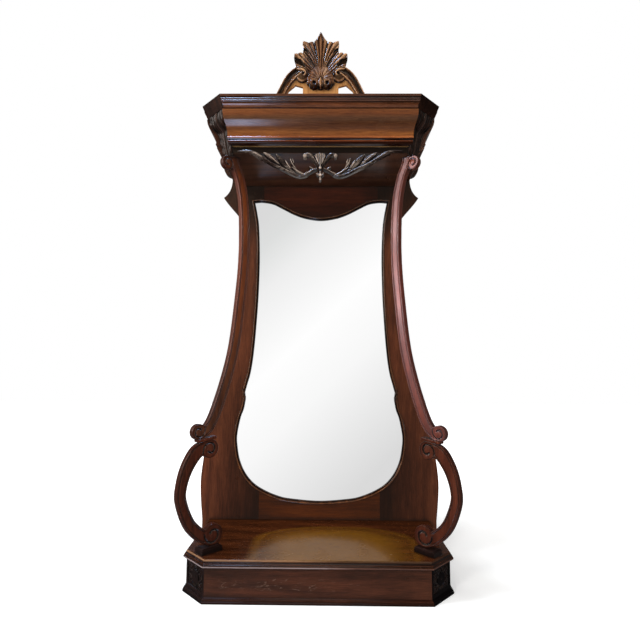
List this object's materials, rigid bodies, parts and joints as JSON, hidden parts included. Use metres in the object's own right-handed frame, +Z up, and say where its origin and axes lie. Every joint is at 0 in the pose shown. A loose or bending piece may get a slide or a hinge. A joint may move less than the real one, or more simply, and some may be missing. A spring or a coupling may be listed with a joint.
{
  "type": "wall mirror",
  "caption": "Carved wood wall mirror with a shaped glass, a canted shelf on a low plinth below, scrolled arms at the corners and a moulded canopy with a shell crest above.",
  "frame": {"origin": "on the floor plane under the middle of the mirror's bounding box: the foot of the plinth and of the back frame stand on z = 0", "axes": "+X to the viewer's right, +Y towards the wall, +Z up; the front faces -Y"},
  "size_m": [0.8102, 0.3704, 1.657],
  "materials": {
    "plinth_walnut": "french polished, worn at the edges",
    "cornice_walnut": "french polished",
    "frame_mahogany": "dark french polish",
    "carved_walnut": "french polished carving with dark wax in the hollows",
    "light_walnut": "waxed",
    "ebonised_wood": "black stained, polished",
    "mirror_plate": "silvered glass",
    "pine": "bare, aged",
    "beech": "bare",
    "brass": "tarnished",
    "steel": "plain"
  },
  "bodies": {
    "root": {"arm_collar_left": "carved_walnut", "arm_collar_right": "carved_walnut", "arm_dowels": "beech", "backboard_blocks": "pine", "base_moulding_cant_left": "plinth_walnut", "base_moulding_cant_right": "plinth_walnut", "base_moulding_front": "plinth_walnut", "base_moulding_side_left": "plinth_walnut", "base_moulding_side_right": "plinth_walnut", "bottom_rail": "frame_mahogany", "canopy_board_front": "pine", "canopy_board_left": "pine", "canopy_board_right": "pine", "canopy_soffit": "frame_mahogany", "canopy_top_board": "pine", "corbel_left": "carved_walnut", "corbel_right": "carved_walnut", "cornice_bead_front": "cornice_walnut", "cornice_bead_left": "cornice_walnut", "cornice_bead_right": "cornice_walnut", "cornice_ogee_front": "cornice_walnut", "cornice_ogee_left": "cornice_walnut", "cornice_ogee_right": "cornice_walnut", "crest_foot": "light_walnut", "crest_plate": "light_walnut", "crest_scroll_left": "carved_walnut", "crest_scroll_right": "carved_walnut", "crest_shell": "carved_walnut", "crown_block_left": "cornice_walnut", "crown_block_right": "cornice_walnut", "crown_moulding_front": "cornice_walnut", "crown_moulding_left": "cornice_walnut", "crown_moulding_right": "cornice_walnut", "frame_screws": "steel", "lower_scroll_left": "carved_walnut", "lower_scroll_right": "carved_walnut", "mirror_backboard": "pine", "mirror_bead": "ebonised_wood", "mirror_glass": "mirror_plate", "plinth_back": "pine", "plinth_blocks": "pine", "plinth_cant_left": "plinth_walnut", "plinth_cant_right": "plinth_walnut", "plinth_front": "plinth_walnut", "plinth_side_left": "plinth_walnut", "plinth_side_right": "plinth_walnut", "scroll_pad_left": "carved_walnut", "scroll_pad_right": "carved_walnut", "shelf_board": "plinth_walnut", "stile_left": "frame_mahogany", "stile_right": "frame_mahogany", "top_rail": "frame_mahogany", "upper_arm_left": "carved_walnut", "upper_arm_right": "carved_walnut", "valance_carving": "carved_walnut", "wall_plate_screws": "steel", "wall_plates": "brass"}
  },
  "joints": []
}
